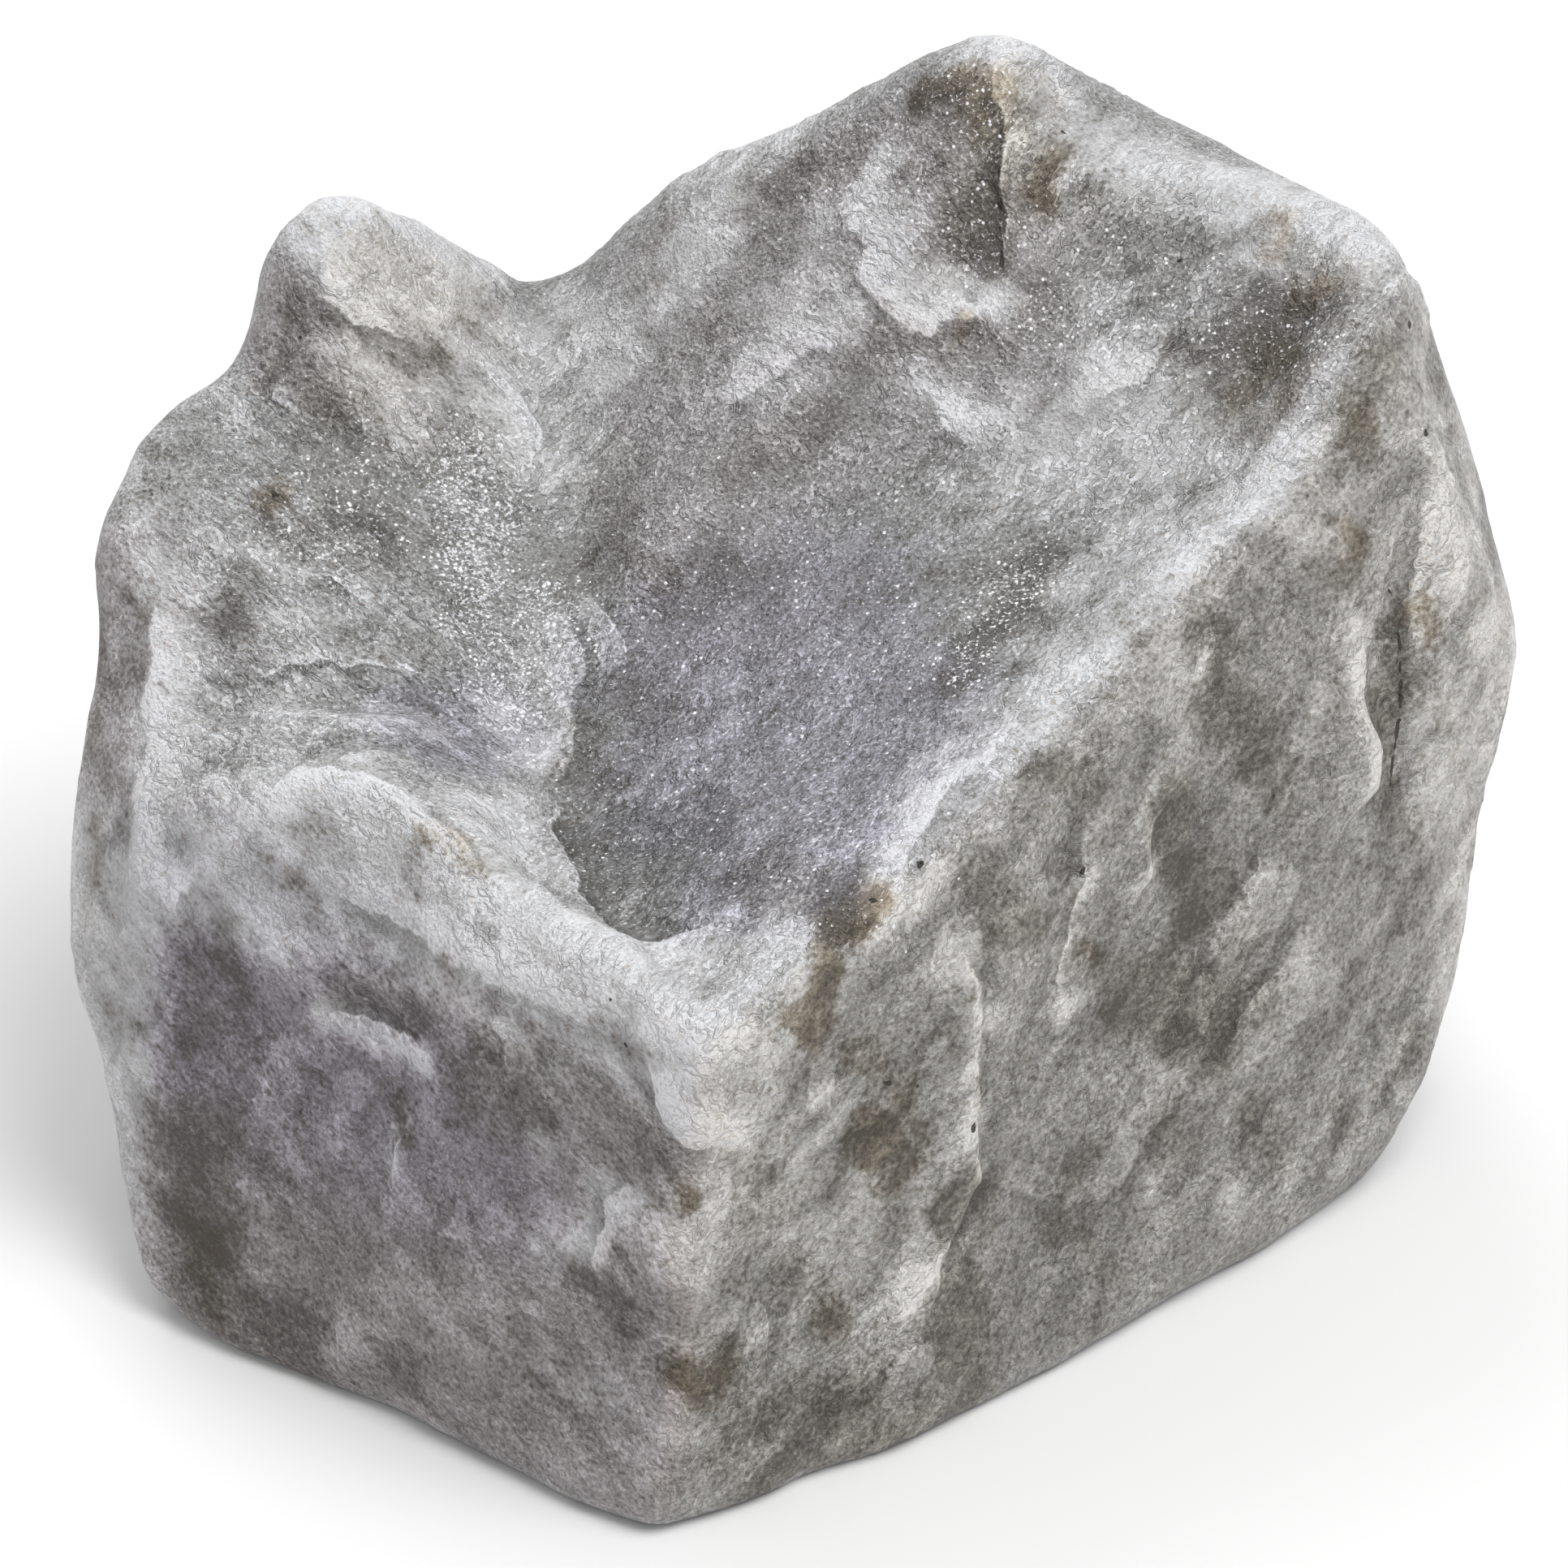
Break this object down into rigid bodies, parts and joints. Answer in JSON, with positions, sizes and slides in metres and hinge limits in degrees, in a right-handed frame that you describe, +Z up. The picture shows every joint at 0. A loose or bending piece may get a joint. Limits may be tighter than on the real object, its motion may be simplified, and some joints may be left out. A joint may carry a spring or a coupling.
{
  "type": "raw hackmanite stone",
  "caption": "Raw lump of violet-grey hackmanite with a worn horn at each back corner, a trough between them, steep broken walls and a flat foot.",
  "frame": {"origin": "middle of the bounding box, on the plane that the stone rests on", "axes": "+Z up; +X to the right along the longest side, towards the tall horn; -Y towards the low front edge"},
  "size_m": [0.045, 0.0416, 0.0325],
  "materials": {
    "hackmanite": "waxy, sugary broken surface"
  },
  "bodies": {
    "root": {"hackmanite": "hackmanite"}
  },
  "joints": []
}
